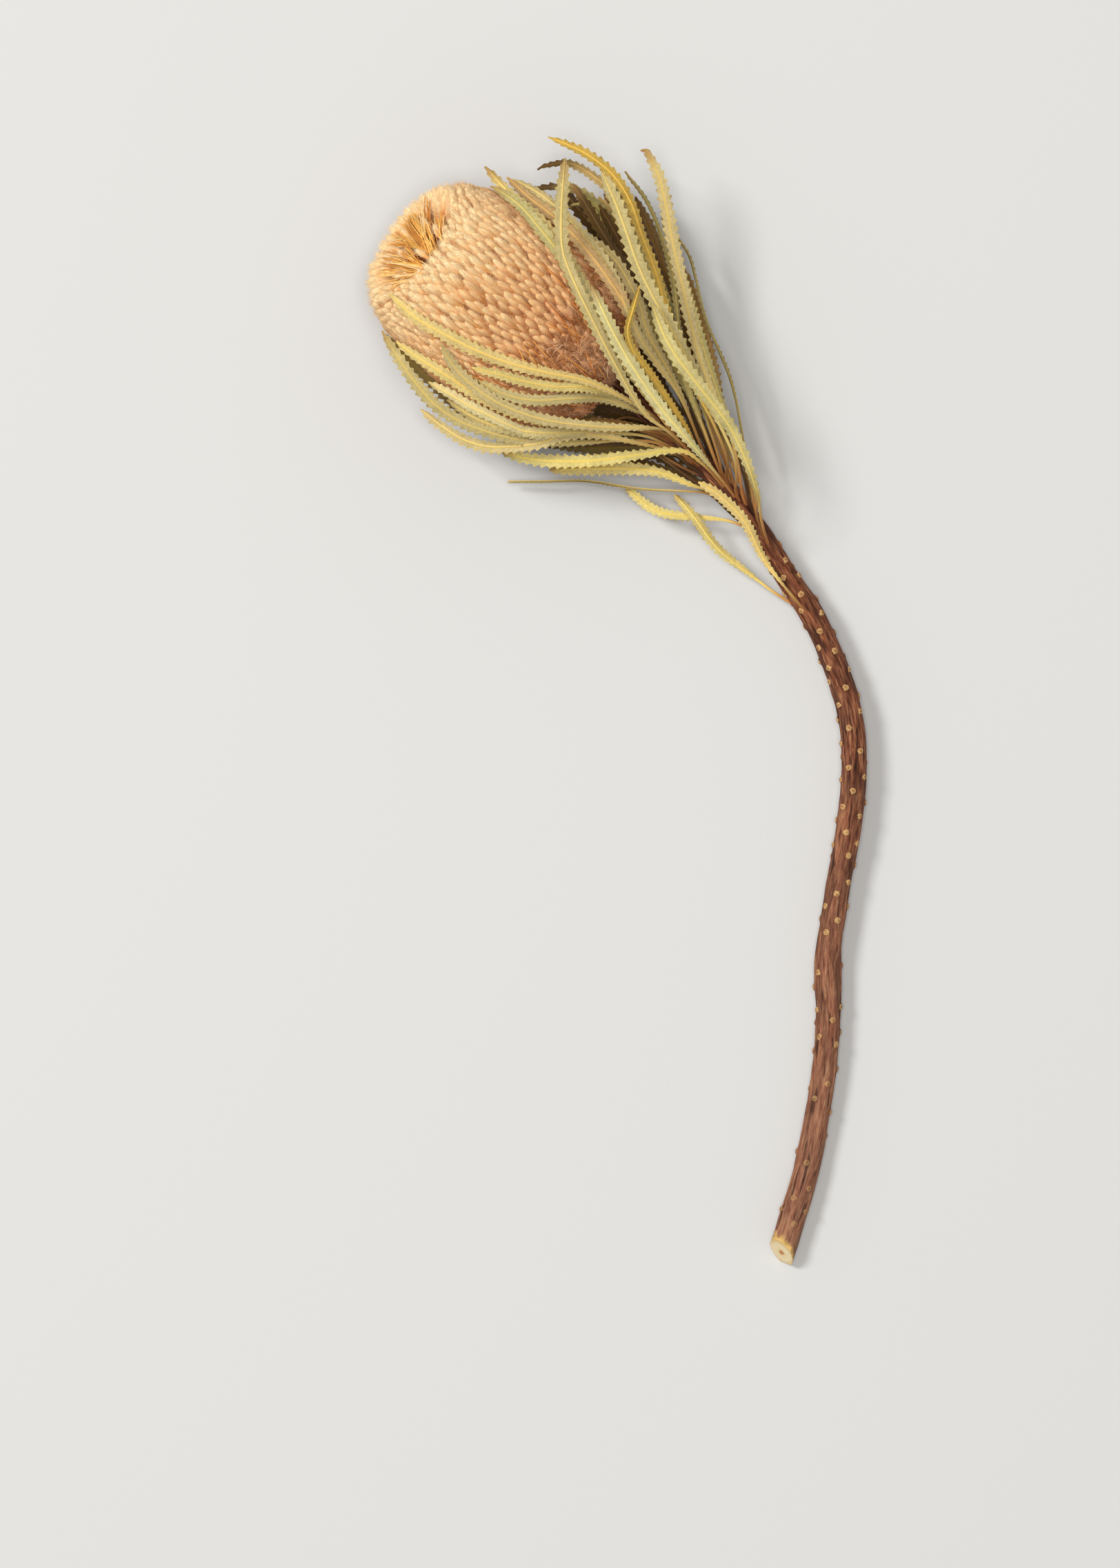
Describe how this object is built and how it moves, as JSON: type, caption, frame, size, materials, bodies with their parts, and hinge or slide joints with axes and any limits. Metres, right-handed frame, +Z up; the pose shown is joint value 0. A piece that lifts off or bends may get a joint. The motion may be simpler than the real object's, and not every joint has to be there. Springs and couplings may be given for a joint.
{
  "type": "banksia cone",
  "caption": "Dried banksia flower cone on a bowed, cut woody stem with long saw-toothed leaves, lying down.",
  "frame": {"origin": "centre of the small flat spot that the cone lies on", "axes": "+Z up from the surface it lies on, +Y from the stem's cut end towards the cone, +X to the right of that seen from above"},
  "size_m": [0.1941, 0.4329, 0.0917],
  "materials": {
    "floret": "matte, felted",
    "leaf": "matte, dry and leathery",
    "bark": "matte, rough bark",
    "style": "satin, dry and wiry"
  },
  "bodies": {
    "root": {"cone": "floret", "leafy_stem": "leaf"}
  },
  "joints": []
}
